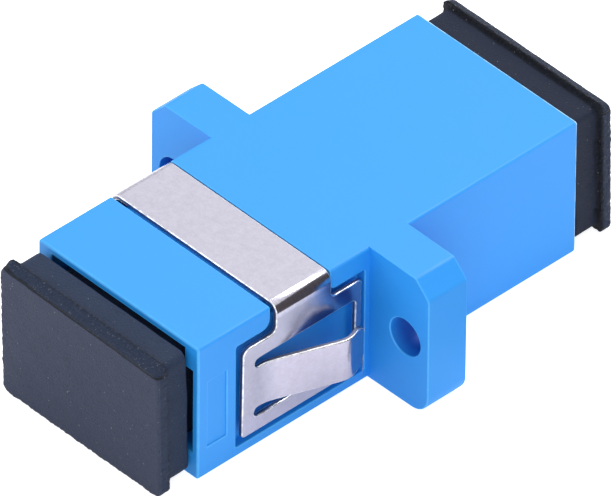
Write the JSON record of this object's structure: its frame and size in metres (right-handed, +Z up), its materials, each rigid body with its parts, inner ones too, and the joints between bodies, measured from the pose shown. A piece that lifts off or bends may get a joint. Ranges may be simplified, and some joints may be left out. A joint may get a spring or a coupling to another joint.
{
  "type": "sc fibre adapter",
  "caption": "Flanged push-pull optical fibre adapter with a spring panel clip, a ceramic split alignment sleeve inside and a rubber dust cap in each port.",
  "frame": {"origin": "centre of the underside at mid-length, midway between the two ports", "axes": "Y runs along the fibre axis, with the clip's end at -Y; X runs through the flange ears; +Z points up, away from the keyways"},
  "size_m": [0.0222, 0.034, 0.0094],
  "materials": {
    "housing_plastic": "satin moulded",
    "spring_steel": "bright rolled",
    "latch_plastic": "satin moulded",
    "sleeve_ceramic": "polished",
    "cap_rubber": "matt moulded"
  },
  "bodies": {
    "adapter": {"housing": "housing_plastic", "panel_clip": "spring_steel", "front_latch_body": "latch_plastic", "rear_latch_body": "latch_plastic", "split_sleeve": "sleeve_ceramic"},
    "front_cap": {"front_dust_cap": "cap_rubber"},
    "rear_cap": {"rear_dust_cap": "cap_rubber"}
  },
  "joints": [
    {"name": "front_cap_pull", "type": "slide", "parent": "adapter", "child": "front_cap", "axis": [0, -1, 0], "range_m": [0, 0.012]},
    {"name": "rear_cap_pull", "type": "slide", "parent": "adapter", "child": "rear_cap", "axis": [0, 1, 0], "range_m": [0, 0.012]}
  ]
}
